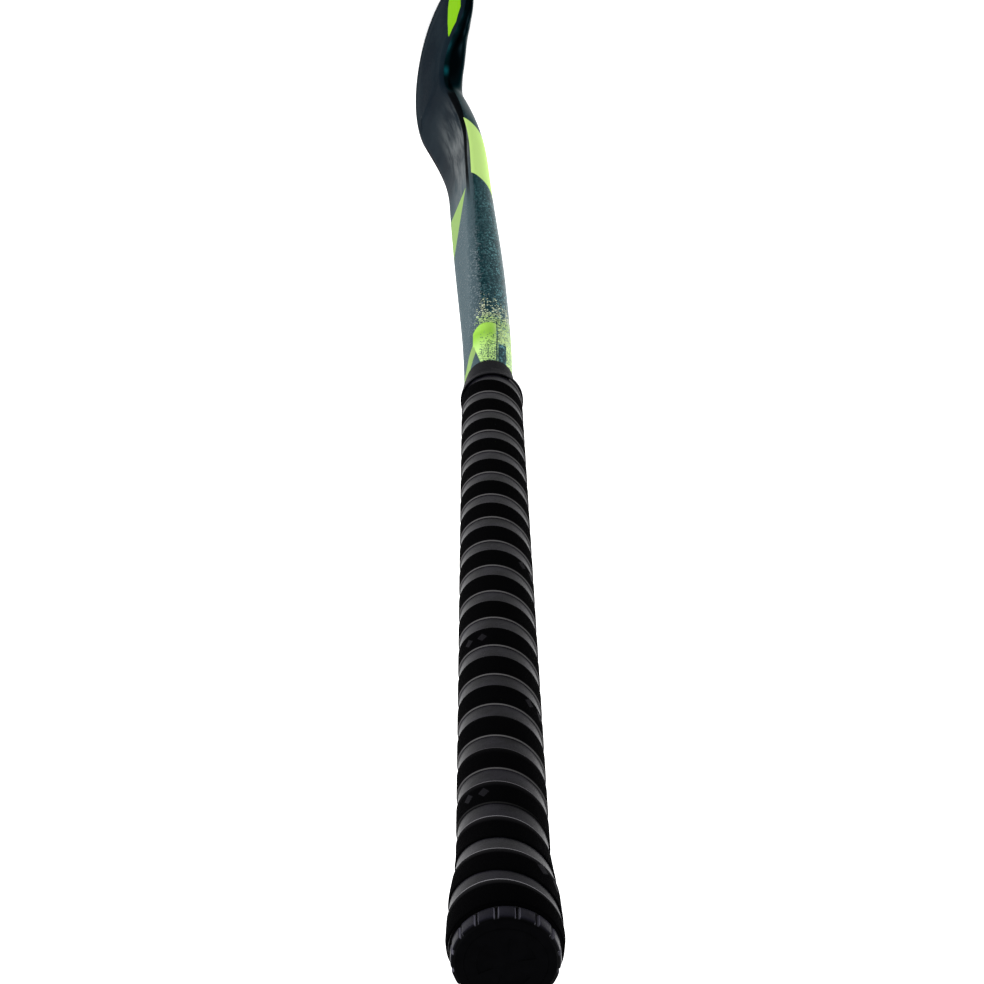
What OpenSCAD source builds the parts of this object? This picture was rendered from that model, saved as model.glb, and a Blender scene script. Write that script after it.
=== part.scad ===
// Field hockey stick: bowed composite shaft, J-shaped head, wound grip and butt cap.
// Origin at the middle of the cap's flat end, +Z out of the butt, so the stick hangs
// head down. The toe points to -X and the flat playing side looks to -Y.

/* [Stick] */
// length from the cap to the bottom of the head
stick_len = 927; // [850:1:970]
// radius of the head's centre line
hook_r = 40.4; // [34:0.1:50]
// angle that the head turns through
hook_turn = 134; // [110:1:160]
// straight stretch after the turn, toe tip included
toe_run = 12.5; // [5:0.5:25]

/* [Bow] */
// slope that the shaft takes on above the neck
bow_slope = 0.031; // [0:0.001:0.06]
// further slope that the neck adds, so that the head leans to the playing side
neck_slope = 0.27; // [0:0.01:0.3]
// slope of the shaft toward the toe
toe_lean = 0.02; // [0:0.005:0.04]

/* [Shaft section] */
// radius of the bare handle under the grip
handle_r = 12.5; // [11:0.1:14]
// width just above the grip
shaft_w = 28.2; // [26:0.1:32]
// thickness just above the grip
shaft_h = 23; // [20:0.1:26]
// thickness at the neck
neck_h = 18.5; // [16:0.1:22]
// thickness of the head
head_h = 20; // [16:0.1:24]
// head's half width on the inner, crook side
head_in = 23; // [18:0.1:26]
// head's half width on the outer, heel side
head_out = 21.5; // [18:0.1:26]
// laminate wall
wall = 2.3; // [1.5:0.1:4]

/* [Grip] */
// outer radius at the top of the flare
grip_r_low = 17; // [15:0.1:19]
// outer radius where the finishing tape starts
grip_r_high = 15; // [14:0.1:17]
// advance of the wound strip in one turn
wrap_pitch = 23; // [18:0.5:30]
// width of the gap between turns, where the underlay shows
wrap_gap = 8.7; // [0:0.1:14]
// extra width of the strip's cut start
start_extra = 2.6; // [0:0.1:4]
// thickness of the wound strip
wrap_t = 0.6; // [0.3:0.1:1.5]
// height where the strip ends
wrap_end = 462.5; // [400:0.5:500]
// height where the finishing tape ends
tape_end = 479; // [475:0.5:520]

/* [Butt] */
// radius of the cap's rim
cap_r = 18.7; // [17:0.1:21]
// number of blocks around the rim
block_count = 16; // [8:1:24]
// depth of the notches between the blocks
notch_depth = 1.1; // [0.5:0.1:2]

/* [Hidden] */
$fn = 96;
heel_out = 20.3;                    // half width of the head at its lowest point
hook_start = stick_len - hook_r - heel_out; // the head starts to turn at this height
head_line = hook_start + hook_r * hook_turn * PI / 180;
path_end = head_line + toe_run;
tip_len = 24;                       // rounded end of the toe, along the path
face_lean = bow_slope + neck_slope; // slope of the flat head
flat_start = hook_start + 9.7;      // the playing side is a plane from here to the toe
neck_len = 122;                     // the neck's slope grows over this length, down to the plane
bow_start = 477;
bow_len = 130;
lean_start = 540;
lean_len = 200;
morph_start = 460;                  // handle turns from round to the shaft's oval here
morph_len = 20;
shaft_start = 500;
shaft_gain = 0.0155;                // half width that the shaft gains with each millimetre
widen_start = hook_start - 101.3;   // shaft widens to the head
widen_len = 100;
toe_taper = 0.12;                   // share of its width that the head loses toward the toe
toe_taper_start = hook_start + 25;
toe_taper_len = 82;
thin_start = 600;                   // shaft thins to the neck
thin_len = 190;
thick_start = hook_start - 36.3;    // neck thickens to the head
thick_len = 75;
toe_thin = 8.5;                     // thickness that the head loses toward the toe
toe_thin_start = hook_start + 44.7;
toe_thin_len = 62;
// how the flat side's half gets shallower: [by how much, from where, over what length]
front_drops = [[1.1, morph_start, morph_len], [3.2, 480, 120], [3.2, 640, 170]];
corner_min = 5.5;                   // width of the rounded corner on the neck and head
corner_extra = handle_r - 6.3;
corner_start = 480;
corner_len = 260;
back_square = 0.16;                 // how much squarer than an ellipse the back is
back_square_len = 60;
cap_t = 7.2;
cap_face_t = 0.9;                   // the flat end stands proud of the blocks by this much
cap_face_r = 17.9;
stem_r = 5;
notch_w = 1.2;
notch_turn = 0.32;                  // first notch, as part of a block from +X
stem_len = 24;
plug_len = 50;
flare_end = 60;
tube_wall = 0.9;
tube_play = 0.9;                    // space beside a tube, which the bonding resin fills
tube_share = 0.64;                  // a tube's share of the hollow's height
tube_shift = 1.2;                   // tubes lie nearer the flat side in the lower shaft
tube_sides = 14;
tube_start = 60;
tube_end = hook_start - 20.3;
head_core_start = hook_start - 14.3;
sleeve_r = handle_r + 0.25;         // bore of everything slid over the handle
underlay_t = 1.2;                   // thickness of the padding over the flare
pad_t = 0.4;
wrap_steps = 24;                    // sides in one turn of the strip
helix_phase = 26.65;                // height of a turn's lower edge at helix_side
helix_side = 0.192;                 // that place, as part of a turn from -Y toward the toe

// ---- curves ----
function smooth(x) = let (c = max(0, min(1, x))) c * c * (3 - 2 * c);
// integral of smooth(): a slope that grows from 0 to 1 over a unit length
function ramp(x) = x <= 0 ? 0 : x >= 1 ? x - 0.5 : pow(x, 3) - pow(x, 4) / 2;
function mix(a, b, k) = a + (b - a) * k;

// playing side's distance from the handle axis at a height s below the butt
function face_n(s) = handle_r + 0.5 * smooth((s - morph_start) / morph_len)
    + bow_slope * bow_len * ramp((s - bow_start) / bow_len)
    + neck_slope * neck_len * ramp((s - flat_start + neck_len) / neck_len);
function lean_t(s) = toe_lean * lean_len * ramp((s - lean_start) / lean_len);

// centre line of the stick: heading, then distance to the toe side and height
function heading(q) = max(0, min(hook_turn, (q - hook_start) / hook_r * 180 / PI));
function beyond(q) = max(0, q - head_line);
function path_t(q) = hook_r * (1 - cos(heading(q))) + beyond(q) * sin(hook_turn);
function path_s(q) = min(q, hook_start) + hook_r * sin(heading(q)) + beyond(q) * cos(hook_turn);

// half width on one side, thickness, depth of the flat side's corners and their width
function morph(q) = smooth((q - morph_start) / morph_len);
function body_w(q) = mix(handle_r, shaft_w / 2 + shaft_gain * max(0, q - shaft_start), morph(q));
function toe_tip(q) = sqrt(max(0.002, 1 - pow(max(0, (q - path_end + tip_len) / tip_len), 2)));
function side_w(q, head_w) = toe_tip(q)
    * mix(body_w(q), head_w, smooth((q - widen_start) / widen_len))
    * (1 - toe_taper * smooth((q - toe_taper_start) / toe_taper_len));
function thick(q) = mix(2 * handle_r, shaft_h, morph(q))
    + (neck_h - shaft_h) * smooth((q - thin_start) / thin_len)
    + (head_h - neck_h) * smooth((q - thick_start) / thick_len)
    - toe_thin * smooth((q - toe_thin_start) / toe_thin_len);
function sum(numbers) = numbers * [for (x = numbers) 1];
function front_h(q) = handle_r - sum([for (d = front_drops) d[0] * smooth((q - d[1]) / d[2])]);
function corner_w(q) = corner_min + corner_extra * (1 - smooth((q - corner_start) / corner_len));
function back_power(q) = 1 - back_square * smooth((q - morph_start) / back_square_len);
function tip_h(q) = mix(1, toe_tip(q), 0.65);

// one cross section, as [distance to the toe side, distance below the flat side]
function section(q, inset, corner_steps, flat_steps, back_steps) = let (
    wi = side_w(q, head_in) - inset,
    wo = side_w(q, head_out) - inset,
    hf = front_h(q) * tip_h(q) - inset,
    hb = (thick(q) - front_h(q)) * tip_h(q) - inset,
    ri = min(corner_w(q) - inset * 0.6, wi - 0.6 * toe_tip(q)),
    ro = min(corner_w(q) - inset * 0.6, wo - 0.6 * toe_tip(q)),
    e = back_power(q)
) concat(
    [for (a = [0 : 90 / corner_steps : 90]) [wi - ri + ri * cos(a), -inset - hf + hf * sin(a)]],
    [for (k = [1 : flat_steps - 1]) [mix(wi - ri, ro - wo, k / flat_steps), -inset]],
    [for (a = [90 : 90 / corner_steps : 180]) [ro - wo + ro * cos(a), -inset - hf + hf * sin(a)]],
    [for (k = [1 : back_steps - 1]) let (a = 180 + 180 * k / back_steps)
        [(cos(a) > 0 ? wi : wo) * sign(cos(a)) * pow(abs(cos(a)), e),
         -inset - hf - hb * pow(abs(sin(a)), e)]]
);

// puts a point of a cross section at path length q into the part's frame
function place(q, p) = let (
    a = heading(q),
    s = path_s(q) - p[0] * sin(a),
    t = path_t(q) + p[0] * cos(a) + lean_t(s)
) [-t, -(face_n(s) + p[1]), -s];

function shell_ring(q, inset, c, f, b) = [for (p = section(q, inset, c, f, b)) place(q, p)];
function ellipse_ring(q, x, n, rx, rn, sides) =
    [for (k = [0 : sides - 1]) let (a = 360 * k / sides) place(q, [x + rx * cos(a), n + rn * sin(a)])];
function mean(ring) = [for (i = [0 : 2]) sum([for (p = ring) p[i]]) / len(ring)];

// path lengths of the rings: far apart on the straight, close in the head
function tip_stops(count, share) =
    [for (k = [1 : count]) path_end - tip_len + tip_len * sin(90 * share * k / count)];
function stops(start, fine, last, count) = concat(
    [for (q = [start, 150, 300, morph_start]) if (q <= morph_start && q >= start) q],
    [for (q = [morph_start + 5 : 5 : 486]) q],
    [for (q = [500 : 20 : 700]) q],
    [for (q = [700 + fine : fine : hook_start - 4]) q],
    [for (q = [hook_start : fine / 2 : path_end - tip_len]) q],
    tip_stops(count, last)
);

// closed solid through a list of rings that each have the same number of points
module loft(rings) {
    n = len(rings[0]);
    last = len(rings) - 1;
    points = concat([for (r = rings) each r], [mean(rings[0]), mean(rings[last])]);
    sides = [for (i = [0 : last - 1], j = [0 : n - 1])
        let (a = i * n + j, b = i * n + (j + 1) % n)
        each [[a, b, b + n], [a, b + n, a + n]]];
    top = [for (j = [0 : n - 1]) [len(points) - 2, (j + 1) % n, j]];
    bottom = [for (j = [0 : n - 1]) [len(points) - 1, last * n + j, last * n + (j + 1) % n]];
    polyhedron(points, concat(sides, top, bottom), convexity = 8);
}

// ---- shaft and head ----
// hollow carbon and glass laminate: handle, shaft and head in one moulding, open at the butt
module laminate_shell() {
    color("#1d3238")
    difference() {
        loft([for (q = stops(cap_t + 0.2, 10, 0.96, 7)) shell_ring(q, 0, 5, 4, 18)]);
        loft([for (q = concat([0], stops(30, 18, 0.55, 2))) shell_ring(q, wall, 3, 2, 12)]);
    }
}

// the two tubes lie side by side in the hollow; side is 1 toward the toe, -1 toward the heel
function tube_half(q) = (side_w(q, head_out) - wall) / 2;
function tube_ring(q, side, inset) = ellipse_ring(
    q, side * (tube_half(q) + 0.1), -thick(q) / 2 + tube_shift * smooth((q - thin_start) / 100),
    tube_half(q) - tube_play - inset, tube_share * (thick(q) / 2 - wall) - inset, tube_sides);
tube_stops = concat([tube_start, 250, 440, 470, 500], [for (q = [540 : 40 : 700]) q],
                    [for (q = [717 : 17 : hook_start - 30]) q], [tube_end]);

module inner_tube(side) {
    difference() {
        loft([for (q = tube_stops) tube_ring(q, side, 0)]);
        loft([for (q = concat([tube_start - 1], tube_stops, [tube_end + 1])) tube_ring(q, side, tube_wall)]);
    }
}

module tube_core(side) {
    loft([for (q = tube_stops) tube_ring(q, side, tube_wall + 0.1)]);
}

module tube_heel() { color("#2b2b2e") inner_tube(-1); }
module tube_toe() { color("#2b2b2e") inner_tube(1); }
module tube_core_heel() { color("#d9c9a0") tube_core(-1); }
module tube_core_toe() { color("#d9c9a0") tube_core(1); }

// dense foam that fills the head
module head_core() {
    color("#c9b27c")
    loft([for (q = concat([head_core_start], [for (q = [hook_start : 9 : path_end - tip_len]) q],
                          tip_stops(2, 0.45))) shell_ring(q, wall + 0.25, 3, 2, 12)]);
}

// thin matt layer bonded to the flat side of the head
pad_edge = 6.5;                     // distance from the head's edge
pad_top = 0.5;                      // distance of its straight top from the start of the plane
head_reach = 75;                    // larger than the flat side in any direction
function pad_line(w, q) = let (a = heading(q), x = w - sign(w) * pad_edge)
    [path_t(q) + x * cos(a) + lean_t(flat_start), path_s(q) - x * sin(a)];
pad_stops = [for (q = [hook_start - 6 : 4 : path_end - 9]) q];

module touch_pad() {
    color("#3a434b")
    translate([0, -face_n(flat_start), -flat_start])
    rotate([90 - atan(face_lean), 0, 0])
    linear_extrude(pad_t)
    intersection() {
        // heights run down the sloping face, so they are stretched by its slope
        polygon([for (p = concat([for (q = pad_stops) pad_line(side_w(q, head_in), q)],
                                 [for (k = [len(pad_stops) - 1 : -1 : 0])
                                     pad_line(-side_w(pad_stops[k], head_out), pad_stops[k])]))
            [-p[0], -(p[1] - flat_start) / cos(atan(face_lean))]]);
        translate([-2 * head_reach, -2 * head_reach])
        square([4 * head_reach, 2 * head_reach - pad_top]);
    }
}

// ---- butt ----
module handle_plug() {
    color("#6a5a48")
    translate([0, 0, -cap_t - 0.2 - plug_len])
    difference() {
        cylinder(h = plug_len, r = handle_r - wall - 0.35);
        translate([0, 0, plug_len - stem_len - 2])
        cylinder(h = stem_len + 3, r = stem_r + 0.05);
    }
}

// rubber cap: flat end, a rim of blocks with notches between them, and a stem
module end_cap() {
    color("#17181b")
    difference() {
        union() {
            translate([0, 0, -cap_face_t])
            cylinder(h = cap_face_t, r1 = cap_face_r, r2 = cap_face_r - 0.5);
            translate([0, 0, -cap_t])
            cylinder(h = cap_t - cap_face_t, r = cap_r);
            translate([0, 0, -cap_t - stem_len])
            cylinder(h = stem_len, r = stem_r);
        }
        for (k = [0 : block_count - 1])
            rotate(360 * (k + notch_turn) / block_count)
            translate([cap_r - notch_depth, -notch_w / 2, -cap_t - 1])
            cube([notch_depth + 1, notch_w, cap_t - cap_face_t + 1]);
    }
}

// outer line of the padding under the strip: flared at the butt, then a slight taper
flare_line = [[19.3, 7.4], [19.8, 13], [19.4, 24], [18.8, 36], [17.4, 48],
              [grip_r_low - wrap_t, flare_end]];
butt_edge = flare_line[0][1];
underlay_end = 462;
grip_taper = (grip_r_high - grip_r_low) / (wrap_end - flare_end);
function base_r(s) = s >= flare_end
    ? grip_r_low - wrap_t + grip_taper * (s - flare_end)
    : lookup(s, [for (p = flare_line) [p[1], p[0]]]);

// rubber cone on the handle that gives the butt its flare
module flare_collar() {
    color("#1b1b1d")
    rotate_extrude()
    polygon(concat([[sleeve_r, -butt_edge]],
                   [for (p = flare_line) [p[0] - underlay_t, -p[1]]],
                   [[sleeve_r, -flare_end]]));
}

// smooth padding that shows between the turns of the strip
module grip_underlay() {
    color("#5c5c66")
    rotate_extrude()
    polygon(concat([for (p = flare_line) [p[0], -p[1]]],
                   [[base_r(underlay_end), -underlay_end], [sleeve_r, -underlay_end],
                    [sleeve_r, -flare_end - 0.05]],
                   [for (k = [len(flare_line) - 1 : -1 : 0])
                       [flare_line[k][0] - underlay_t + 0.03, -flare_line[k][1]]]));
}

// one wound strip: it climbs a pitch in each turn, and is trimmed level at both ends
strip_w = wrap_pitch - wrap_gap;
strip_first = butt_edge + 1 - strip_w;
strip_turns = floor((wrap_end - 1 - strip_first) / wrap_pitch * wrap_steps);
strip_phase = (strip_first - helix_phase) / wrap_pitch - helix_side;
function start_gain(turn) = start_extra * smooth(turn / 0.1) * (1 - smooth((turn - 0.4) / 0.26));
function strip_ring(k) = let (
    a = 360 * (k / wrap_steps + strip_phase),
    edge = strip_first + wrap_pitch * k / wrap_steps,
    low = max(edge, butt_edge + 0.2),
    high = min(edge + strip_w + start_gain(k / wrap_steps), wrap_end),
    grow = 1 / cos(180 / wrap_steps)    // the flats between the corners touch the padding
) [for (p = [[low, 0.02], [high, 0.02], [high, wrap_t], [low, wrap_t]])
    let (r = (base_r(p[0]) + p[1]) * grow) [r * sin(a), -r * cos(a), -p[0]]];

module grip_wrap() {
    color("#0c0c0e")
    loft([for (k = [0 : strip_turns]) strip_ring(k)]);
}

// tape that holds down the strip's end and closes the top of the grip
tape_start = 461.5;
tape_step = 464.5;
// a round ring with as many points as shell_ring(), starting at the same place
function disc_ring(s, r) = [for (p = section(morph_start, 0, 8, 2, 16))
    let (v = [p[0], p[1] + handle_r] * r / norm([p[0], p[1] + handle_r])) [-v[0], -v[1], -s]];

module finishing_tape() {
    heights = [tape_start, tape_step - 1, tape_step + 2, tape_end];
    color("#2a2a2e")
    difference() {
        loft([for (s = heights) s < tape_step ? disc_ring(s, grip_r_high + 0.55)
                                              : shell_ring(s, -0.75, 8, 2, 16)]);
        loft([for (s = [tape_start - 1, tape_step - 1, tape_step + 2, tape_end + 1])
            s < tape_step ? disc_ring(s, grip_r_high + 0.15) : shell_ring(s, -0.1, 8, 2, 16)]);
    }
}

laminate_shell();
tube_heel();
tube_toe();
tube_core_heel();
tube_core_toe();
head_core();
touch_pad();
handle_plug();
end_cap();
flare_collar();
grip_underlay();
grip_wrap();
finishing_tape();
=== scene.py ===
"""Looks of a field hockey stick: lacquered composite shaft and head, wound grip, butt cap.

Lengths in the shape functions are millimetres, counted from the butt; MM turns them into metres.
"""

import math

import bpy
from mathutils import Matrix, Vector


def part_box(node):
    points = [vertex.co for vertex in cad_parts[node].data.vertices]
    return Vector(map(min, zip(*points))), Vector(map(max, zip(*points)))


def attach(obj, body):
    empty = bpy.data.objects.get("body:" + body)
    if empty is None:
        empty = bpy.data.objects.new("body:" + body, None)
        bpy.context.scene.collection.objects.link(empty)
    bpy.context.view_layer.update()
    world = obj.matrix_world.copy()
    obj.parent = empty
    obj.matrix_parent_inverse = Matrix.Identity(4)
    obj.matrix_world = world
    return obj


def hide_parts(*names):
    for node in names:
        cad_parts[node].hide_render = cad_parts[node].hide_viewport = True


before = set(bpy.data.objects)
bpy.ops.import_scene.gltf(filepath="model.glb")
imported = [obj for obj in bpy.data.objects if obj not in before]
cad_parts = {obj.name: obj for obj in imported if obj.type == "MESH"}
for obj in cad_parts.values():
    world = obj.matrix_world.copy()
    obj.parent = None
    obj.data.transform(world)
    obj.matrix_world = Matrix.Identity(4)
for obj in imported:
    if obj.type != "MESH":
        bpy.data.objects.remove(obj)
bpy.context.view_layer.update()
MM = 0.001


def low_mm(node):
    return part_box(node)[0] / MM


def high_mm(node):
    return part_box(node)[1] / MM


# ---- dimensions shared with the CAD part ----
HOOK_START = 866.3          # the head starts to turn here
HOOK_R = 40.4               # radius of the head's centre line
HOOK_TURN = math.radians(134)
TOE_RUN = 12.5
TIP_LEN = 24.0
BOW_SLOPE = 0.031
BOW_START = 477.0
BOW_LEN = 130.0
NECK_SLOPE = 0.27
NECK_LEN = 122.0            # the neck's slope grows over this length
TOE_LEAN = 0.02
LEAN_START = 540.0
LEAN_LEN = 200.0
HANDLE_R = 12.5
SHAFT_W = 28.2
SHAFT_H = 23.0
NECK_H = 18.5
HEAD_H = 20.0
HEAD_IN = 23.0              # half width on the crook side
HEAD_OUT = 21.5             # half width on the heel side
WALL = 2.3
MORPH_START = 460.0         # round handle turns into the oval shaft here
MORPH_LEN = 20.0
SHAFT_START = 500.0
SHAFT_GAIN = 0.0155         # half width that the shaft gains for each mm
WIDEN_START = 765.0         # shaft widens to the head
WIDEN_LEN = 100.0
TOE_TAPER = 0.12            # share of its width that the head loses toward the toe
TOE_TAPER_START = HOOK_START + 25
TOE_TAPER_LEN = 82.0
THIN_START = 600.0          # shaft thins to the neck
THIN_LEN = 190.0
THICK_START = 830.0         # neck thickens to the head
THICK_LEN = 75.0
TOE_THIN = 8.5              # thickness that the head loses toward the toe
TOE_THIN_START = 911.0
TOE_THIN_LEN = 62.0
# the flat side's rounded corners grow shallower: (by how much, from where, over what length)
FRONT_DROPS = [(1.1, MORPH_START, MORPH_LEN), (3.2, 480, 120), (3.2, 640, 170)]
CORNER_MIN = 5.5            # width of those corners
CORNER_EXTRA = HANDLE_R - 6.3
CORNER_START = 480.0
CORNER_LEN = 260.0
BACK_SQUARE = 0.16          # how much squarer than an ellipse the back is
BACK_SQUARE_LEN = 60.0
FLAT_START = 876.0
HEAD_LINE = HOOK_START + HOOK_R * HOOK_TURN
PATH_END = HEAD_LINE + TOE_RUN
FACE_LEAN = BOW_SLOPE + NECK_SLOPE
PAD_EDGE = 6.5              # distance of the bonded layer from the head's edge
PAD_TOP_EDGE = 0.6          # and from the start of the head's flat part
PAD_TOE_EDGE = 9.0          # and from the end of the toe
PAD_T = 0.4
PAD_STEPS = 52
WRAP_PITCH = 23.0
WRAP_GAP = 8.7
WRAP_T = 0.6
STRIP_W = WRAP_PITCH - WRAP_GAP
STRIP_PHASE_S = 26.65       # height of a turn's lower edge at STRIP_SIDE
STRIP_SIDE = 0.192          # that place, as part of a turn from -Y toward the toe
START_EXTRA = 2.6           # more width on the first turn of the strip
UNDERLAY_T = 1.2
MARK_PERIOD = 5.0           # turns of the strip after which its pressed marks repeat
MARKS = [(3.51, 7.3), (6.26, 10.5)]  # turn of a mark, and its distance from the strip's edge
MARKS_END = 13              # the marks are rubbed off beyond this turn
BLOCK_COUNT = 16
NOTCH_TURN = 0.32
NOTCH_DEPTH = 1.1
NOTCH_W = 1.2
CAP_MARK_IN = 5.9           # the mark on the cap: shallow arcs between these radii
CAP_MARK_OUT = 10.1
CAP_MARK_ARCS = 3
CAP_MARK_SHARE = 0.62       # share of the round that the arcs fill
CAP_MARK_DEPTH = 0.3
STEM_R = 5.0
STEM_LEN = 24.0
FLARE_LINE = [(7.4, 19.3), (13, 19.8), (24, 19.4), (36, 18.8), (48, 17.4), (60, 16.4)]
GRIP_R_LOW = 17.0
GRIP_R_HIGH = 15.0

# places read from the CAD frame
SHELL_TOP = -high_mm("laminate_shell").z
WRAP_START = -high_mm("grip_wrap").z
WRAP_END = -low_mm("grip_wrap").z
UNDERLAY_END = -low_mm("grip_underlay").z
TAPE_START = -high_mm("finishing_tape").z
TAPE_END = -low_mm("finishing_tape").z
CAP_R = high_mm("end_cap").x
CAP_T = SHELL_TOP - 0.2
CAP_FACE_T = 0.9
CAP_FACE_R = 17.9
GROUND = low_mm("laminate_shell").z


# ---- the stick's shape ----
def smooth(x):
    c = max(0.0, min(1.0, x))
    return c * c * (3 - 2 * c)


def ramp(x):
    """Integral of smooth()."""
    if x <= 0:
        return 0.0
    if x >= 1:
        return x - 0.5
    return x ** 3 - x ** 4 / 2


def mix(a, b, k):
    return a + (b - a) * k


def morph(q):
    """0 on the round handle, 1 on the oval shaft."""
    return smooth((q - MORPH_START) / MORPH_LEN)


def face_n(s):
    """Distance of the playing side from the handle's axis."""
    bow = BOW_SLOPE * BOW_LEN * ramp((s - BOW_START) / BOW_LEN)
    neck = NECK_SLOPE * NECK_LEN * ramp((s - FLAT_START + NECK_LEN) / NECK_LEN)
    return HANDLE_R + 0.5 * morph(s) + bow + neck


def lean_t(s):
    """How far the centre line leans toward the toe side."""
    return TOE_LEAN * LEAN_LEN * ramp((s - LEAN_START) / LEAN_LEN)


def heading(q):
    return max(0.0, min(HOOK_TURN, (q - HOOK_START) / HOOK_R))


def path(q):
    """The centre line at path length q: distance to the toe side, and height below the butt."""
    a = heading(q)
    beyond = max(0.0, q - HEAD_LINE)
    t = HOOK_R * (1 - math.cos(a)) + beyond * math.sin(HOOK_TURN)
    s = min(q, HOOK_START) + HOOK_R * math.sin(a) + beyond * math.cos(HOOK_TURN)
    return t, s


def toe_tip(q):
    return math.sqrt(max(0.002, 1 - max(0.0, (q - PATH_END + TIP_LEN) / TIP_LEN) ** 2))


def side_w(q, head_w):
    """Half width on one side."""
    shaft = SHAFT_W / 2 + SHAFT_GAIN * max(0.0, q - SHAFT_START)
    body = mix(HANDLE_R, shaft, morph(q))
    taper = 1 - TOE_TAPER * smooth((q - TOE_TAPER_START) / TOE_TAPER_LEN)
    return toe_tip(q) * mix(body, head_w, smooth((q - WIDEN_START) / WIDEN_LEN)) * taper


def thick(q):
    base = mix(2 * HANDLE_R, SHAFT_H, morph(q))
    neck = (NECK_H - SHAFT_H) * smooth((q - THIN_START) / THIN_LEN)
    head = (HEAD_H - NECK_H) * smooth((q - THICK_START) / THICK_LEN)
    return base + neck + head - TOE_THIN * smooth((q - TOE_THIN_START) / TOE_THIN_LEN)


def front_h(q):
    """Depth of the flat side's rounded corners."""
    drops = [drop * smooth((q - start) / length) for drop, start, length in FRONT_DROPS]
    return HANDLE_R - sum(drops)


def corner_w(q):
    return CORNER_MIN + CORNER_EXTRA * (1 - smooth((q - CORNER_START) / CORNER_LEN))


def section(q, inset=0.0, corner=12, flat=18, back=56):
    """Cross section as (distance to the toe side, distance below the flat side)."""
    tip = toe_tip(q)
    wi = side_w(q, HEAD_IN) - inset
    wo = side_w(q, HEAD_OUT) - inset
    height = 0.35 + 0.65 * tip
    hf = front_h(q) * height - inset
    hb = (thick(q) - front_h(q)) * height - inset
    ri = min(corner_w(q) - 0.6 * inset, wi - 0.6 * tip)
    ro = min(corner_w(q) - 0.6 * inset, wo - 0.6 * tip)
    power = 1 - BACK_SQUARE * smooth((q - MORPH_START) / BACK_SQUARE_LEN)
    points = []
    for k in range(corner + 1):
        a = math.pi / 2 * k / corner
        points.append((wi - ri + ri * math.cos(a), -inset - hf + hf * math.sin(a)))
    for k in range(1, flat):
        points.append((mix(wi - ri, ro - wo, k / flat), -inset))
    for k in range(corner + 1):
        a = math.pi / 2 * (1 + k / corner)
        points.append((ro - wo + ro * math.cos(a), -inset - hf + hf * math.sin(a)))
    for k in range(1, back):
        a = math.pi * (1 + k / back)
        across = math.copysign(abs(math.cos(a)) ** power, math.cos(a))
        width = wi if across > 0 else wo
        points.append((width * across, -inset - hf - hb * abs(math.sin(a)) ** power))
    return points


def place(q, p):
    """A point of the cross section at path length q, in the row frame, in millimetres."""
    a = heading(q)
    t0, s0 = path(q)
    s = s0 - p[0] * math.sin(a)
    t = t0 + p[0] * math.cos(a) + lean_t(s)
    return Vector((-t, -(face_n(s) + p[1]), -s))


def around_line(points, back_middle):
    """Arc length of each point from the middle of the back, positive toward the toe side."""
    n = len(points)
    total = 0.0
    lengths = [0.0] * n
    for k in range(1, n):
        i = (back_middle + k) % n
        j = (back_middle + k - 1) % n
        total += math.dist(points[i], points[j])
        lengths[i] = total
    last = math.dist(points[back_middle], points[(back_middle - 1) % n])
    girth = total + last
    return [v - girth if v > girth / 2 else v for v in lengths]


# ---- mesh helpers ----
def spread(start, end, step):
    count = max(1, round((end - start) / step))
    return [mix(start, end, k / count) for k in range(count + 1)]


def make_object(name, points, faces, values=None, sharp=35):
    """Mesh object from points in millimetres, with a point attribute for each entry of values."""
    mesh = bpy.data.meshes.new(name)
    mesh.from_pydata([Vector(p) * MM for p in points], [], faces)
    mesh.validate()
    for key, numbers in (values or {}).items():
        attribute = mesh.attributes.new(key, "FLOAT", "POINT")
        attribute.data.foreach_set("value", numbers)
    mesh.polygons.foreach_set("use_smooth", [True] * len(mesh.polygons))
    mesh.set_sharp_from_angle(angle=math.radians(sharp))
    obj = bpy.data.objects.new(name, mesh)
    bpy.context.scene.collection.objects.link(obj)
    return obj


def band_faces(first, second, n):
    """Quads between two rings of n points that start at the indices first and second."""
    return [(first + j, first + (j + 1) % n, second + (j + 1) % n, second + j) for j in range(n)]


def loft_faces(rings, n):
    faces = []
    for i in range(rings - 1):
        faces += band_faces(i * n, (i + 1) * n, n)
    return faces


def revolve(name, profile, steps):
    """Ring-shaped solid about Z from a closed line of (radius, height below the butt) points."""
    points = []
    for radius, s in profile:
        for k in range(steps):
            a = math.tau * k / steps
            points.append((radius * math.cos(a), radius * math.sin(a), -s))
    faces = loft_faces(len(profile), steps) + band_faces((len(profile) - 1) * steps, 0, steps)
    return make_object(name, points, faces)


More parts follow.
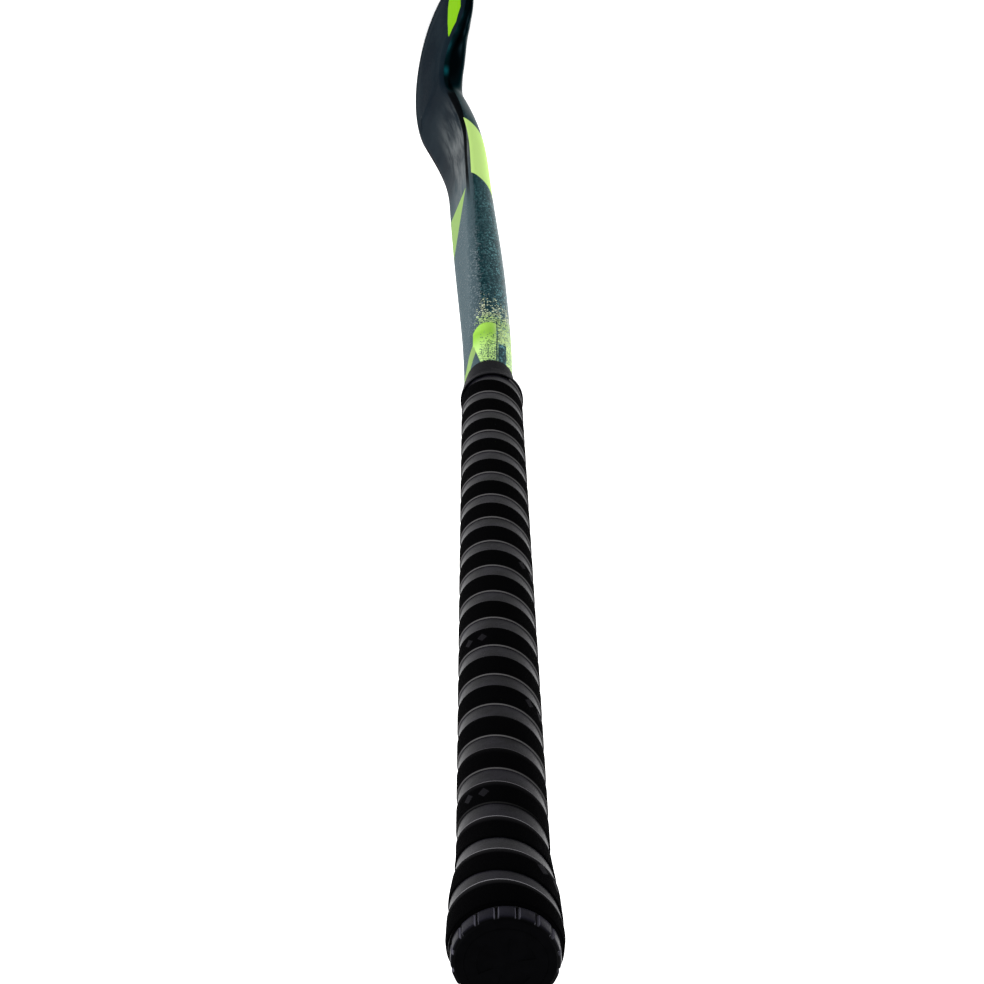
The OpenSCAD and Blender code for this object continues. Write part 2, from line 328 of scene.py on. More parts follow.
# ---- pieces ----
def build_stick():
    """Outer skin and hollow of the laminate, with the surface's own coordinates as attributes."""
    back_steps = 56
    qs = (spread(SHELL_TOP, 440, 30) + spread(446, 860, 2.0)
          + spread(861.2, PATH_END - TIP_LEN, 1.2)
          + [PATH_END - TIP_LEN + TIP_LEN * math.sin(math.radians(4 * k)) for k in range(1, 22)])
    points, along, across, depth, around = [], [], [], [], []
    n = len(section(600, back=back_steps))
    for q in qs:
        ring = section(q, back=back_steps)
        points += [place(q, p) for p in ring]
        along += [q] * n
        across += [p[0] for p in ring]
        depth += [-p[1] for p in ring]
        around += around_line(ring, n - back_steps // 2)
    outer = len(qs)
    hollow = (spread(SHELL_TOP, 440, 60) + spread(460, 860, 20)
              + spread(HOOK_START, PATH_END - TIP_LEN, 8) + [PATH_END - TIP_LEN * 0.4])
    for q in hollow:
        ring = section(q, WALL, back=back_steps)
        points += [place(q, p) for p in ring]
        along += [q] * n
        across += [p[0] for p in ring]
        depth += [-p[1] for p in ring]
        around += [0.0] * n
    faces = loft_faces(outer, n)
    inside = loft_faces(len(hollow), n)
    faces += [tuple(i + outer * n for i in reversed(f)) for f in inside]
    faces += [tuple(reversed(f)) for f in band_faces(0, outer * n, n)]
    faces.append(tuple(reversed(range((outer - 1) * n, outer * n))))
    last = (outer + len(hollow) - 1) * n
    faces.append(tuple(range(last, last + n)))
    toe = [-p[0] for p in points]
    down = [-p[2] for p in points]
    values = {"along": along, "across": across, "depth": depth, "around": around,
              "toe": toe, "down": down}
    return make_object("stick_body", points, faces, values, sharp=50)


def pad_outline(inset):
    """Outline of the bonded layer on the head, in the plane of the flat side: (toe, down)."""
    def edge(q, w):
        a = heading(q)
        t0, s0 = path(q)
        x = w - math.copysign(PAD_EDGE + inset, w)
        return t0 + x * math.cos(a) + lean_t(FLAT_START), s0 - x * math.sin(a)

    end = PATH_END - PAD_TOE_EDGE - inset
    qs = [mix(HOOK_START - 6, end, k / PAD_STEPS) for k in range(PAD_STEPS + 1)]
    crook = [edge(q, side_w(q, HEAD_IN)) for q in qs]
    heel = [edge(q, -side_w(q, HEAD_OUT)) for q in reversed(qs)]
    top = FLAT_START + PAD_TOP_EDGE + inset
    return [(t, max(s, top)) for t, s in crook + heel]


def build_pad():
    """Thin layer with a soft edge on the flat side of the head."""
    # a hair-thin upright edge, then a long low slope
    bevel = [(0.0, 0.0), (0.02, 0.09), (1.2, 0.16), (2.4, 0.36), (3.6, 0.66), (4.8, 0.9),
             (6.0, 1.0)]
    layers = [(inset, PAD_T * share) for inset, share in bevel]
    points = []
    for inset, rise in layers:
        for t, s in pad_outline(inset):
            normal = Vector((0, -1, FACE_LEAN)).normalized()
            points.append(Vector((-t, -face_n(s), -s)) + normal * rise)
    n = len(points) // len(layers)
    faces = loft_faces(len(layers), n)
    faces.append(tuple(range((len(layers) - 1) * n, len(layers) * n)))
    faces.append(tuple(reversed(range(n))))
    values = {"toe": [-p[0] for p in points], "down": [-p[2] for p in points]}
    return make_object("head_face_layer", points, faces, values)


def base_r(s):
    """Outer radius of the padding under the strip."""
    low_s, high_s = FLARE_LINE[-1][0], WRAP_END
    if s >= low_s:
        return mix(GRIP_R_LOW, GRIP_R_HIGH, (s - low_s) / (high_s - low_s)) - WRAP_T
    for (s0, r0), (s1, r1) in zip(FLARE_LINE, FLARE_LINE[1:]):
        if s <= s1:
            return mix(r0, r1, max(0.0, (s - s0) / (s1 - s0)))
    return FLARE_LINE[-1][1]


def build_underlay():
    """Padding under the strip: smooth outside, closed inside round the collar and the handle."""
    sleeve_r = HANDLE_R + 0.25
    start = FLARE_LINE[0][0]
    outside = [(base_r(s), s) for s in spread(start, UNDERLAY_END, 2.0)]
    inside = [(sleeve_r, s) for s in (UNDERLAY_END, 300, 150, FLARE_LINE[-1][0] + 0.05)]
    inside += [(r - UNDERLAY_T + 0.03, s) for s, r in reversed(FLARE_LINE)]
    return revolve("grip_padding", outside + inside, 128)


def strip_edges(turns):
    """Lower and upper edge of the strip; its cut start makes the first turn wider."""
    edge = WRAP_START + 0.8 - STRIP_W + WRAP_PITCH * turns
    start_extra = START_EXTRA * (1 - smooth((turns - 0.4) / 0.26)) * smooth(turns / 0.1)
    return max(edge, WRAP_START), min(edge + STRIP_W + start_extra, WRAP_END)


def build_strip():
    """The wound strip, flat with rounded edges; attributes mark its paler upper edge near the butt
    and its paler lower cut edge.
    """
    steps = 96
    first = WRAP_START + 0.8 - STRIP_W
    turns_total = (WRAP_END - 1 - first) / WRAP_PITCH
    phase = (first - STRIP_PHASE_S) / WRAP_PITCH - STRIP_SIDE
    shoulder = [(0.0, 0.02), (0.0, 0.3), (0.12, 0.47), (0.35, 0.57), (0.8, WRAP_T)]
    points, turn_of, rise, pale_high_edge, cut = [], [], [], [], []
    count = int(turns_total * steps)
    for k in range(count + 1):
        turns = k / steps
        low, high = strip_edges(turns)
        width = high - low
        a = math.tau * (turns + phase)
        side = [(low + min(d, width * 0.4), h) for d, h in shoulder]
        middle = [(mix(low, high, m), WRAP_T) for m in (0.25, 0.5, 0.75)]
        far = [(high - min(d, width * 0.4), h) for d, h in reversed(shoulder)]
        for s, h in side + middle + far:
            r = base_r(s) + h
            points.append((r * math.sin(a), -r * math.cos(a), -s))
            turn_of.append(turns)
            rise.append(s - low)
            pale_high_edge.append(smooth((s - high + 0.85) / 0.4) * (1 - smooth((turns - 1) / 5)))
            cut.append((1 - smooth((s - low - 0.1) / 0.25)) * smooth((turns - 3) / 2))
    n = 2 * len(shoulder) + 3
    faces = loft_faces(count + 1, n)
    faces.append(tuple(reversed(range(n))))
    faces.append(tuple(range(count * n, (count + 1) * n)))
    values = {"turns": turn_of, "rise": rise, "pale_high_edge": pale_high_edge, "cut_edge": cut}
    return make_object("grip_strip", points, faces, values)


def build_tape():
    """Elastic tape that closes the top of the grip: two laps with a small step between them."""
    back, corner, flat = 40, 12, 12
    n = len(section(TAPE_END, back=back, corner=corner, flat=flat))
    step = TAPE_START + 3

    def shell_ring(s, grow):
        ring = section(max(s, step), -grow, back=back, corner=corner, flat=flat)
        return [place(s, p) for p in ring]

    def round_ring(s, r):
        out = []
        for p in shell_ring(MORPH_START, 0):
            v = Vector((p.x, p.y, 0)).normalized() * r
            out.append(Vector((v.x, v.y, -s)))
        return out

    lip = 0.22
    gap, one_lap, two_laps = 0.1, 0.6, 0.75     # distances of the tape's sides from the shaft
    inner_r = GRIP_R_HIGH + 0.15
    outer_r = GRIP_R_HIGH + 0.55
    rings = [round_ring(TAPE_START, inner_r),
             round_ring(TAPE_START, outer_r - lip),
             round_ring(TAPE_START + lip, outer_r)]
    fit = round_ring(step - 1, outer_r)
    rings.append(fit)
    top = shell_ring(step + 2, two_laps)
    for k in (0.2, 0.4, 0.6, 0.8):
        ease = smooth(k)
        rings.append([Vector((mix(a.x, b.x, ease), mix(a.y, b.y, ease), mix(a.z, b.z, k)))
                      for a, b in zip(fit, top)])
    rings.append(top)
    for s, grow in [(step + 6, two_laps), (step + 6.2, one_lap + 0.02), (step + 6.5, one_lap),
                    (TAPE_END - 2, one_lap), (TAPE_END - lip, one_lap),
                    (TAPE_END, one_lap - lip), (TAPE_END, gap)]:
        rings.append(shell_ring(s, grow))
    rings += [shell_ring(step + 2, gap), round_ring(step - 1, inner_r)]
    points = [p for ring in rings for p in ring]
    faces = loft_faces(len(rings), n) + band_faces((len(rings) - 1) * n, 0, n)
    return make_object("finishing_band", points, faces)


def cap_mask(turn):
    """1 on a block of the cap's rim, 0 in a notch, with a short slope between them."""
    x = (turn * BLOCK_COUNT - NOTCH_TURN) % 1.0
    centre = min(x, 1 - x)
    half = NOTCH_W / 2 / (math.tau * CAP_R / BLOCK_COUNT)
    return smooth((centre - half * 0.7) / (half * 0.9))


def build_cap():
    """Rubber cap: flat end with a shallow generic mark, blocks round the rim, and a stem."""
    steps = BLOCK_COUNT * 24
    rim = [(CAP_T, 0.0), (CAP_T - 0.25, 0.7), (CAP_T - 0.8, 1.0)]
    rim += [(s, 1.0) for s in spread(CAP_T - 1.6, CAP_FACE_T + 1.2, 0.9)]
    rim += [(CAP_FACE_T + 0.5, 0.85), (CAP_FACE_T + 0.1, 0.3), (CAP_FACE_T, 0.0)]
    points, block, edge = [], [], []
    stem = [(STEM_R, CAP_T + STEM_LEN), (STEM_R, CAP_T)]
    inner_r = CAP_R - NOTCH_DEPTH
    for radius, s in stem:
        for k in range(steps):
            a = math.tau * k / steps
            points.append((radius * math.cos(a), radius * math.sin(a), -s))
            block.append(0.0)
            edge.append(0.0)
    for s, full in rim:
        for k in range(steps):
            turn = k / steps
            r = inner_r + NOTCH_DEPTH * full * cap_mask(turn)
            points.append((r * math.cos(math.tau * turn), r * math.sin(math.tau * turn), -s))
            raised = cap_mask(turn)
            block.append(smooth(full * 1.6 - 0.5) * raised)
            # pale edges along the sides of the blocks: a painted highlight
            edge.append(4 * raised * (1 - raised) * full)
    face = [(inner_r, CAP_FACE_T - 0.05), (CAP_FACE_R - 0.5, 0.45), (CAP_FACE_R - 0.75, 0.12),
            (CAP_FACE_R - 1.2, 0.0), (14.6, 0.0), (14.4, 0.18), (14.0, 0.18), (13.8, 0.0)]
    face += [(r, 0.0) for r in (12, 10.2, 10, 8, 6.2, 6, 4, 2.2, 2.0, 0.6)]
    for radius, s in face:
        for k in range(steps):
            turn = k / steps
            marked = (CAP_MARK_IN < radius < CAP_MARK_OUT
                      and (turn * CAP_MARK_ARCS) % 1.0 < CAP_MARK_SHARE)
            sunk = CAP_MARK_DEPTH if marked else 0.0
            points.append((radius * math.cos(math.tau * turn), radius * math.sin(math.tau * turn),
                           -s - sunk))
            block.append(0.0)
            edge.append(0.0)
    rings = len(stem) + len(rim) + len(face)
    faces = loft_faces(rings, steps)
    faces.append(tuple(reversed(range(steps))))
    faces.append(tuple(range((rings - 1) * steps, rings * steps)))
    obj = make_object("butt_cap", points, faces, {"block": block, "rim_painted_highlight": edge}, sharp=30)
    face_start = (len(stem) + len(rim) - 1) * steps
    for polygon in obj.data.polygons:
        polygon.material_index = 1 if min(polygon.vertices) >= face_start else 0
    return obj


# ---- materials ----
class Paint:
    """One material's node tree, written as calls that return sockets."""

    def __init__(self, name):
        self.material = bpy.data.materials.new(name)
        self.material.use_nodes = True
        self.tree = self.material.node_tree
        self.shader = self.tree.nodes["Principled BSDF"]

    def add(self, kind, inputs=None, **settings):
        node = self.tree.nodes.new("ShaderNode" + kind)
        for key, value in settings.items():
            setattr(node, key, value)
        for key, value in (inputs or {}).items():
            self.feed(node.inputs[key], value)
        return node

    def feed(self, socket, value):
        if isinstance(value, bpy.types.NodeSocket):
            self.tree.links.new(value, socket)
        else:
            socket.default_value = value

    def set(self, **values):
        for key, value in values.items():
            self.feed(self.shader.inputs[key.replace("_", " ")], value)

    def attribute(self, name):
        return self.add("Attribute", attribute_name=name).outputs["Fac"]

    def math(self, operation, first, second=0.0, third=0.0):
        return self.add("Math", {0: first, 1: second, 2: third}, operation=operation).outputs[0]

    def step(self, value, low, high):
        """0 below low, 1 above high, smooth between; low may be above high."""
        node = self.add("MapRange", {"Value": value, "From Min": low, "From Max": high},
                        interpolation_type="SMOOTHSTEP")
        return node.outputs["Result"]

    def both(self, first, second):
        return self.math("MULTIPLY", first, second)

    def either(self, first, second):
        return self.math("MAXIMUM", first, second)

    def without(self, first, second):
        return self.math("MULTIPLY", first, self.math("SUBTRACT", 1.0, second))

    def blend(self, factor, first, second):
        node = self.add("Mix", data_type="RGBA")
        self.feed(node.inputs["Factor"], factor)
        colours = [s for s in node.inputs if s.type == "RGBA"]
        self.feed(colours[0], first)
        self.feed(colours[1], second)
        return [s for s in node.outputs if s.type == "RGBA"][0]

    def vector(self, x, y, z=0.0):
        return self.add("CombineXYZ", {"X": x, "Y": y, "Z": z}).outputs[0]

    def position(self):
        """Position on the resting object, in millimetres."""
        place_node = self.add("TexCoord").outputs["Object"]
        scale = self.add("VectorMath", {0: place_node, 1: (1 / MM,) * 3}, operation="MULTIPLY")
        return scale.outputs[0]

    def stretched(self, vector, z_share):
        """The same vector with its Z shortened, so that patterns grow longer along the stick."""
        node = self.add("VectorMath", {0: vector, 1: (1, 1, z_share)}, operation="MULTIPLY")
        return node.outputs[0]

    def noise(self, vector, scale, detail=2.0, rough=0.5):
        node = self.add("TexNoise", {"Vector": vector, "Scale": scale, "Detail": detail,
                                     "Roughness": rough})
        return node.outputs["Fac"]

    def cells(self, vector, scale):
        """A random number for each cell of a fine mosaic."""
        node = self.add("TexVoronoi", {"Vector": vector, "Scale": scale}, feature="F1")
        return self.add("SeparateColor", {0: node.outputs["Color"]}).outputs[0]

    def drops(self, x, y, size, share):
        """Round drops on a plane grid of cells: 1 on a drop; share of the cells have one."""
        node = self.add("TexVoronoi", {"Vector": self.vector(x, y), "Scale": 1 / size},
                        feature="F1", voronoi_dimensions="2D")
        pick = self.add("SeparateColor", {0: node.outputs["Color"]}).outputs[0]
        chosen = self.step(self.math("SUBTRACT", share, pick), 0.0, 0.03)
        return self.both(chosen, self.step(node.outputs["Distance"], 0.5, 0.36))

    def inside(self, x, y, corners, soft=0.15):
        """1 inside the convex polygon with these (x, y) corners, given clockwise or not."""
        area = sum(a[0] * b[1] - b[0] * a[1] for a, b in zip(corners, corners[1:] + corners[:1]))
        turn = 1 if area > 0 else -1
        nearest = None
        for a, b in zip(corners, corners[1:] + corners[:1]):
            length = math.dist(a, b)
            nx, ny = -(b[1] - a[1]) / length * turn, (b[0] - a[0]) / length * turn
            shift = -(nx * a[0] + ny * a[1])
            part = self.math("MULTIPLY_ADD", y, ny, shift)
            gap = self.math("MULTIPLY_ADD", x, nx, part)
            nearest = gap if nearest is None else self.math("MINIMUM", nearest, gap)
        return self.step(nearest, -soft, soft)

    def bump(self, height, strength, distance):
        node = self.add("Bump", {"Height": height, "Strength": strength, "Distance": distance})
        self.feed(self.shader.inputs["Normal"], node.outputs[0])
        return node.outputs[0]


LIME = (0.24, 0.45, 0.06, 1)
LIME_DEEP = (0.18, 0.36, 0.04, 1)
LIME_WHITER = (0.46, 0.66, 0.26, 1)
LIME_PALE = (0.35, 0.52, 0.15, 1)
LIME_FIN = (0.16, 0.25, 0.08, 1)
LIME_DART = (0.125, 0.29, 0.005, 1)
SLATE = (0.0015, 0.0045, 0.008, 1)
SLATE_CLOUD = (0.0045, 0.009, 0.013, 1)
SLATE_PALE = (0.072, 0.08, 0.083, 1)
SLATE_SHAFT = (0.034, 0.056, 0.066, 1)
TEAL = (0.004, 0.010, 0.013, 1)
TEAL_BRIGHT = (0.13, 0.29, 0.31, 1)
TEAL_HEAD = (0.0004, 0.0012, 0.0016, 1)
# teal of the painted highlight in the crook
TEAL_PAINTED_GLINT = (0.004, 0.085, 0.105, 1)
INK = (0.0004, 0.0008, 0.0012, 1)
GRAIN_PALE = (0.10, 0.125, 0.135, 1)
# pale grey of the painted reflection on the neck
NECK_REFLECTION_PAINT = (0.065, 0.068, 0.073, 1)
DROP_PALE = (0.46, 0.50, 0.33, 1)
WORN = (0.06, 0.065, 0.065, 1)


# ---- the stick's painted graphics ----
FIN = [(723.5, 13.0), (730.0, -12.5), (664.0, -13.5)]              # corners: (along, across)
STRIP = [(8.8, 511), (8.8, 497), (3.0, 476), (-9.5, 476)]          # corners: (across, along)
# corners of the patch near the toe: (toe, down)
DART = [(52, 887.5), (64, 884.3), (74, 884.5), (80, 892), (74, 907), (65.5, 901.5)]
WEDGE_LOW = 705.2           # the wedge's ends, along the middle of the back
WEDGE_HIGH = 785.5
BLOCK_TOP = 528.5
BLOCK_SIDE = 34.5           # how far round from the middle of the back the block reaches
BLOCK_CUT = [(27.5, 470), (33.6, 505), (42, 505), (42, 470)]       # corners: (side, along)
BLOCK_WINDOW = [(20.2, 470), (20.2, 503), (15.4, 505), (15.4, 470)]
SEAM_SIDE = 20.9            # thin bare line down the block
DROPS_LOW = 518             # loose drops are densest here
DROPS_HIGH = 577            # and end here
# fades along the stick: (where there is nothing of it, where it is full)
SLATE_BLUER = (800, 700)    # the flat side's slate turns bluer up the shaft
STREAKS_LOW = (868, 800)    # brushed streaks on the neck, toward the head
STREAKS_HIGH = (700, 740)   # and toward the grip
HEAD_BLACK = (846, 866)     # flakes to black lacquer
EDGE_WIDER = (835, 868)     # the flat side's border moves outward on the head
EDGE_NARROWER = (740, 680)  # and inward on the shaft
EDGE_GRAINY = (760, 690)
GRAINS_LOW = (700, 600)     # pale grains beside the flat side
GRAINS_HIGH = (500, 540)
LINE_WIDER = (790, 862)     # the dark line beside the neck
LINE_LOW = (866, 856)
LINE_HIGH = (690, 745)
BLOCK_WORN = (523, 492)     # the block's holes grow more toward the grip
BLOCK_WHITER = (518, 492)
# ranges along the stick
# painted teal highlight in the crook
CROOK_PAINTED_GLINT = (895, 903)     # teal light in the crook
# where the painted reflection on the neck lies
NECK_REFLECTION_RANGE = (826, 852)


class SkinPaint(Paint):
    """Paint with the stick's own surface coordinates at hand, in millimetres."""

    def __init__(self, name):
        super().__init__(name)
        self.spot = self.position()
        self.toe, self.down = self.attribute("toe"), self.attribute("down")
        self.cloud = self.noise(self.spot, 0.035, 3)

    def slate(self):
        """Dark slate of the head's flat side."""
        return self.blend(self.step(self.cloud, 0.35, 0.65), SLATE, SLATE_CLOUD)

    def dart(self):
        """Lime patch near the toe."""
        return self.inside(self.toe, self.down, DART)


class BodyPaint(SkinPaint):
    """Paint of the whole moulding, with coordinates along and round it."""

    def __init__(self, name):
        super().__init__(name)
        self.along, self.across = self.attribute("along"), self.attribute("across")
        self.around, self.depth = self.attribute("around"), self.attribute("depth")
        # along the flat side's middle, where both ways round meet, side is kept large
        middle = self.both(self.step(self.depth, 0.2, 0.05),
                           self.step(self.math("ABSOLUTE", self.across), 3, 2))
        self.side = self.math("MULTIPLY_ADD", middle, 60, self.math("ABSOLUTE", self.around))
        self.grains = self.cells(self.stretched(self.spot, 0.5), 1.9)

    def between(self, value, low, high, soft):
        """1 from low to high, with soft edges."""
        return self.both(self.step(value, low - soft, low + soft),
                         self.step(value, high + soft, high - soft))

    def flat_side(self):
        """Slate, bluer up the shaft, with brushed pale streaks on the neck."""
        colour = self.blend(self.step(self.along, *SLATE_BLUER), self.slate(), SLATE_SHAFT)
        brushed = self.vector(self.math("MULTIPLY", self.along, 0.022),
                              self.math("MULTIPLY", self.across, 0.16))
        streaks = self.step(self.noise(brushed, 1.0, 4, 0.6), 0.34, 0.68)
        neck = self.both(self.step(self.along, *STREAKS_HIGH), self.step(self.along, *STREAKS_LOW))
        streaks = self.both(self.both(streaks, neck), self.step(self.across, -9, 3))
        return self.blend(streaks, colour, SLATE_PALE)

    def back(self):
        """Teal flakes, nearly black on the head, with a painted highlight in the crook and painted
        reflections.
        """
        flakes = self.cells(self.stretched(self.spot, 0.7), 1.25)
        thick = self.step(self.noise(self.spot, 0.06, 3), 0.3, 0.7)
        shine = self.both(self.step(flakes, 0.5, 1.0), self.math("MULTIPLY_ADD", thick, 0.6, 0.4))
        # most flakes show halfway round the back, fewer beside the slate and down the middle; this
        # bright band is partly the lacquer's own flakes and partly a painted reflection
        flakes_and_painted_glow = self.math("MULTIPLY_ADD", self.step(self.side, 27, 14), 0.75, 0.25)
        middle = self.math("MULTIPLY", self.step(self.side, 13, 5), 0.6)
        shine = self.both(shine, self.without(flakes_and_painted_glow, middle))
        shaft = self.blend(shine, TEAL, TEAL_BRIGHT)
        # painted highlight: bright teal painted in the crook, faint over the rest of the head
        near_crook = self.between(self.along, *CROOK_PAINTED_GLINT, 7)
        near_crook = self.math("MULTIPLY_ADD", near_crook, 0.95, 0.05)
        patchy = self.step(self.cloud, 0.38, 0.55)
        painted_glint = self.both(self.between(self.depth, 1.8, 4.2, 1.2), patchy)
        head = self.blend(self.both(painted_glint, near_crook), TEAL_HEAD, TEAL_PAINTED_GLINT)
        colour = self.blend(self.step(self.along, *HEAD_BLACK), shaft, head)
        # painted reflection: the neck's toe side is painted pale grey between the wedge and the
        # crook
        grey = self.both(self.step(self.depth, 2.8, 7.5), self.step(self.depth, 16, 9))
        grey = self.both(grey, self.step(self.across, 4, 14))
        grey = self.both(grey, self.between(self.along, *NECK_REFLECTION_RANGE, 14))
        return self.blend(grey, colour, NECK_REFLECTION_PAINT)

    def gloss(self):
        """0 on the flat side, 1 round the back, with a grainy border between them."""
        edge = self.math("MULTIPLY_ADD", self.step(self.along, *EDGE_WIDER), 1.5, self.depth)
        edge = self.math("MULTIPLY_ADD", self.step(self.along, *EDGE_NARROWER), -0.4, edge)
        inward = self.step(self.math("ABSOLUTE", self.across), 27, 24)
        front = self.both(self.step(edge, 4.9, 1.7), inward)
        grainy = self.math("MULTIPLY", self.math("SUBTRACT", self.grains, 0.5), 1.1)
        grainy = self.both(grainy, self.step(self.along, *EDGE_GRAINY))
        return self.step(self.math("ADD", front, grainy), 0.65, 0.35)

    def pale_grains(self):
        """Pale grains along both edges above the grip."""
        zone = self.both(self.step(self.along, *GRAINS_HIGH), self.step(self.along, *GRAINS_LOW))
        sides = self.both(self.step(self.side, 24, 31), self.step(self.side, 42, 35))
        zone = self.both(zone, sides)
        return self.both(self.step(self.grains, 0.8, 0.86), zone)

    def dark_line(self):
        """Line on the rounded edge of the neck, wider toward the head."""
        width = self.math("MULTIPLY_ADD", self.step(self.along, *LINE_WIDER), 2.6, 32.6)
        line = self.both(self.step(self.side, 30.3, 31.0),
                         self.step(self.math("SUBTRACT", self.side, width), 0.7, 0.0))
        line = self.both(line, self.step(self.depth, 0.05, 0.4))
        ends = self.both(self.step(self.along, *LINE_HIGH), self.step(self.along, *LINE_LOW))
        return self.both(line, ends)

    def wedge(self):
        """Lime wedge round the back of the neck, ragged toward the heel side."""
        curl = self.math("MAXIMUM", self.math("SUBTRACT", 14, self.around), 0.0)
        slanted = self.math("MULTIPLY_ADD", self.around, 1.2, WEDGE_HIGH)
        upper = self.math("MULTIPLY_ADD", curl, -1.8, slanted)
        lower = self.math("MULTIPLY_ADD", self.around, 1.25, WEDGE_LOW)
        fade = self.both(self.math("SUBTRACT", self.grains, 0.5), self.step(self.around, 12, -12))
        ragged = self.math("MULTIPLY_ADD", fade, 24, self.along)
        wedge = self.both(self.step(self.math("SUBTRACT", upper, ragged), -0.3, 0.3),
                          self.step(self.math("SUBTRACT", ragged, lower), -0.3, 0.3))
        return self.both(self.both(wedge, self.step(self.depth, 2.4, 2.8)),
                         self.step(self.around, 31.6, 31.1))

    def fin(self):
        """Lime triangle on the flat side of the neck."""
        fin = self.inside(self.along, self.across, FIN, 0.25)
        return self.both(fin, self.step(self.depth, 1.6, 1.0))

    def slanted_strip(self):
        """Lime strip on the flat side, just above the grip."""
        strip = self.inside(self.across, self.along, STRIP, 0.2)
        return self.both(strip, self.step(self.depth, 3.2, 2.4))

    def block_top(self):
        """Upper edge of the sprayed block: a step near the back, rounded at the sides."""
        round_off = self.math("MAXIMUM", self.math("MULTIPLY_ADD", self.side, 0.14, -3.8), 0.0)
        level = self.math("MULTIPLY_ADD", self.step(self.side, 21.5, 20.5), -4.0, BLOCK_TOP)
        return self.math("MULTIPLY_ADD", self.math("POWER", round_off, 2.0), -6.0, level)

    def block(self):
        """Sprayed block round the back: solid at the top, with dark holes lower down."""
        side, along = self.side, self.along
        above = self.math("SUBTRACT", self.block_top(), along)
        block = self.both(self.step(above, 0.0, 0.8),
                          self.step(side, BLOCK_SIDE + 0.3, BLOCK_SIDE - 0.3))
        cut = self.inside(side, along, BLOCK_CUT)
        seam = self.between(side, SEAM_SIDE - 0.35, SEAM_SIDE + 0.35, 0.1)
        window = self.inside(side, along, BLOCK_WINDOW)
        for gap in (cut, seam, window):
            block = self.without(block, gap)
        worn = self.math("MULTIPLY", self.step(along, *BLOCK_WORN), 0.85)
        worn = self.both(worn, self.step(side, 33, 26))
        inner = self.math("MULTIPLY", self.step(side, SEAM_SIDE, SEAM_SIDE - 0.4), 0.6)
        holes = self.drops(self.around, along, 0.95, self.either(worn, inner))
        return self.without(block, holes)

    def loose_drops(self):
        """Drops above the block, fewer with the distance."""
        near = self.math("POWER", self.step(self.along, DROPS_HIGH, DROPS_LOW), 1.45)
        share = self.math("MULTIPLY", self.both(near, self.step(self.side, 35, 27)), 0.95)
        small = self.drops(self.around, self.along, 0.85, share)
        large = self.drops(self.along, self.around, 1.5, self.math("MULTIPLY", share, 0.4))
        above = self.step(self.math("SUBTRACT", self.along, self.block_top()), -1.0, 0.5)
        return self.both(self.either(small, large), above)

    def sole(self):
        """Worn, duller patches on the sole of the head."""
        patchy = self.step(self.noise(self.spot, 0.3, 4), 0.5, 0.62)
        sole = self.both(self.step(self.down, 912, 926), patchy)
        return self.both(sole, self.step(self.depth, 0.5, 2.5))


def lacquer():
    """Dark teal flake lacquer, slate playing side, lime flashes and a block by the grip."""
    p = BodyPaint("shaft_lacquer")
    gloss, line, sole = p.gloss(), p.dark_line(), p.sole()
    wedge, drops = p.wedge(), p.loose_drops()
    block = p.both(p.block(), p.step(p.along, 475, 476))
    fin = p.either(p.fin(), p.slanted_strip())
    dart = p.both(p.dart(), p.step(p.depth, 1.4, 0.9))
    lime = p.either(p.either(wedge, fin), p.either(dart, block))
    colour = p.blend(gloss, p.flat_side(), p.back())
    colour = p.blend(p.pale_grains(), colour, GRAIN_PALE)
    colour = p.blend(line, colour, INK)
    near_block = p.both(p.step(p.along, 546, 532), 0.6)
    colour = p.blend(drops, colour, p.blend(near_block, DROP_PALE, LIME))
    # the block is paler toward the middle of the back and toward the grip
    block_colour = p.blend(p.step(p.cloud, 0.4, 0.65), LIME, LIME_DEEP)
    block_colour = p.blend(p.both(p.step(p.side, 24, 19), 0.5), block_colour, DROP_PALE)
    block_colour = p.blend(p.both(p.step(p.along, *BLOCK_WHITER), 0.6), block_colour, LIME_WHITER)
    colour = p.blend(fin, colour, LIME_FIN)
    colour = p.blend(block, colour, block_colour)
    colour = p.blend(dart, colour, LIME_DART)
    colour = p.blend(wedge, colour, LIME_PALE)
    colour = p.blend(sole, colour, WORN)

    # satin on the playing side, metallic gloss on the back
    painted = p.either(p.either(lime, drops), p.either(line, sole))
    p.set(Metallic=p.without(gloss, painted))
    rough = p.math("MULTIPLY_ADD", gloss, -0.2, 0.46)
    rough = p.math("MULTIPLY_ADD", p.noise(p.spot, 0.12, 4), 0.08, rough)
    p.set(Base_Color=colour, Roughness=p.math("MULTIPLY_ADD", painted, 0.2, rough))
    p.set(Specular_IOR_Level=0.008, Specular_Tint=(0.48, 0.53, 0.54, 1))
    p.bump(p.math("MULTIPLY_ADD", lime, 0.35, p.noise(p.spot, 1.4, 3)), 0.2, 0.0001)
    return p.material


def pad_paint():
    """Matt slate layer with a fine moulded texture."""
    p = SkinPaint("head_layer_slate")
    pits = p.cells(p.spot, 1.3)
    p.set(Base_Color=p.blend(p.dart(), p.slate(), LIME_DART))
    p.set(Roughness=p.math("MULTIPLY_ADD", pits, 0.1, 0.46), Specular_IOR_Level=0.008)
    p.bump(p.math("MULTIPLY_ADD", pits, 0.3, p.noise(p.spot, 1.4, 3)), 0.2, 0.0001)
    return p.material


